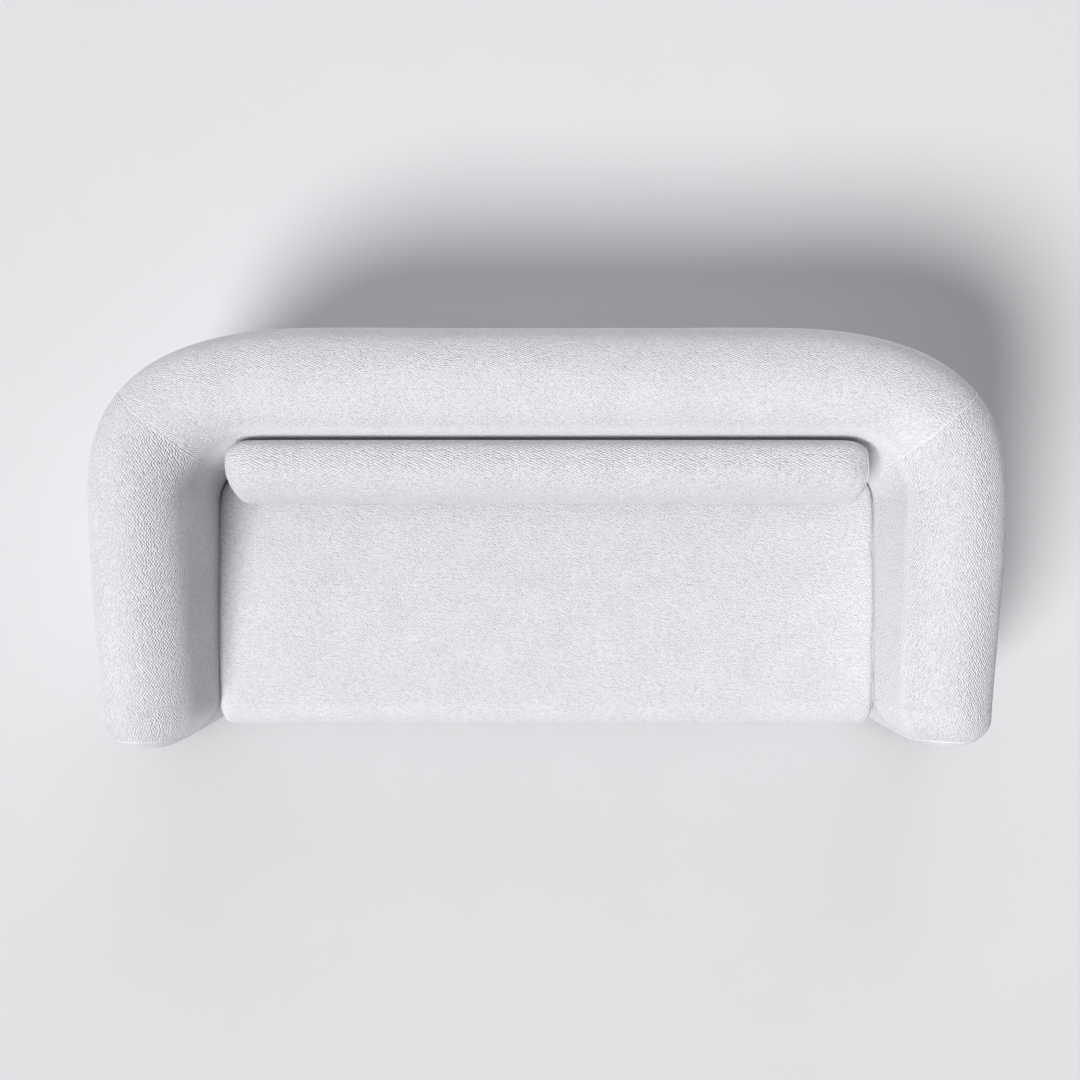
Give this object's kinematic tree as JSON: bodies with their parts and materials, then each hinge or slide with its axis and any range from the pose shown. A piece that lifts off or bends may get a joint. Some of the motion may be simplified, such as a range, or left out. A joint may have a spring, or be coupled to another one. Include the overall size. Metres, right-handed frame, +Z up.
{
  "type": "sofa",
  "caption": "Low upholstered sofa with a rounded wrap-around back and sloping arms, a loose bench seat cushion and a long lumbar bolster, on short tapered feet.",
  "frame": {"origin": "on the floor, under the middle of the overall size", "axes": "+X to the right arm seen from the front, +Y towards the back, +Z up"},
  "size_m": [2.2, 1.04, 0.73],
  "materials": {
    "boucle": "off-white woven boucle with a fine diamond lattice, matt",
    "foam": "cut polyurethane foam and fibre wadding, matt",
    "fibreboard": "bent hardboard, smooth, matt",
    "plywood": "raw birch plywood, sanded",
    "timber": "raw planed softwood",
    "webbing": "woven elastic webbing, matt",
    "liner": "black non-woven cloth, matt",
    "foot_wood": "dark stained wood, satin lacquer",
    "zip_tape": "nylon coil zip on an off-white tape",
    "zip_slider": "nickel-plated slider, satin"
  },
  "bodies": {
    "shell": {"arm_base_plate_left": "plywood", "arm_base_plate_right": "plywood", "arm_cover_left": "boucle", "arm_cover_right": "boucle", "arm_end_cover_left": "boucle", "arm_end_cover_right": "boucle", "arm_end_foam_left": "foam", "arm_end_foam_right": "foam", "arm_foam_left": "foam", "arm_foam_right": "foam", "arm_front_former_left": "plywood", "arm_front_former_right": "plywood", "arm_lining_left": "fibreboard", "arm_lining_right": "fibreboard", "arm_middle_former_left": "plywood", "arm_middle_former_right": "plywood", "arm_top_rail_left": "timber", "arm_top_rail_right": "timber", "back_base_plate": "plywood", "back_cover": "boucle", "back_foam": "foam", "back_former_left": "plywood", "back_former_right": "plywood", "back_lining": "fibreboard", "back_top_rail": "timber", "dust_cover": "liner", "foot_centre_front": "foot_wood", "foot_centre_rear": "foot_wood", "foot_front_left": "foot_wood", "foot_front_right": "foot_wood", "foot_rear_left": "foot_wood", "foot_rear_right": "foot_wood", "front_border_cover": "boucle", "front_border_foam": "foam", "mitre_former_left": "plywood", "mitre_former_right": "plywood", "seat_corner_block_left": "timber", "seat_corner_block_right": "timber", "seat_deck_cloth": "liner", "seat_rail_centre": "timber", "seat_rail_front": "timber", "seat_rail_left": "timber", "seat_rail_rear": "timber", "seat_rail_right": "timber", "seat_strap_crosswise_1": "webbing", "seat_strap_crosswise_2": "webbing", "seat_strap_lengthwise_1": "webbing", "seat_strap_lengthwise_2": "webbing", "seat_strap_lengthwise_3": "webbing", "seat_strap_lengthwise_4": "webbing", "seat_strap_lengthwise_5": "webbing", "seat_strap_lengthwise_6": "webbing"},
    "seat_cushion": {"seat_cushion_cover": "boucle", "seat_cushion_foam": "foam", "seat_cushion_zip": "zip_tape"},
    "seat_zip_slider": {"seat_zip_slider": "zip_slider"},
    "lumbar_cushion": {"lumbar_cushion_cover": "boucle", "lumbar_cushion_filling": "foam", "lumbar_cushion_zip": "zip_tape"},
    "lumbar_zip_slider": {"lumbar_zip_slider": "zip_slider"}
  },
  "joints": [
    {"name": "seat_cushion_lift", "type": "slide", "parent": "shell", "child": "seat_cushion", "axis": [0, 0, 1], "range_m": [0, 0.55]},
    {"name": "lumbar_cushion_lift", "type": "slide", "parent": "seat_cushion", "child": "lumbar_cushion", "axis": [0, 0, 1], "range_m": [0, 0.35]},
    {"name": "seat_zip_slide", "type": "slide", "parent": "seat_cushion", "child": "seat_zip_slider", "axis": [-1, 0, 0], "range_m": [0, 1.235]},
    {"name": "lumbar_zip_slide", "type": "slide", "parent": "lumbar_cushion", "child": "lumbar_zip_slider", "axis": [-1, 0, 0], "range_m": [0, 1.24]}
  ]
}
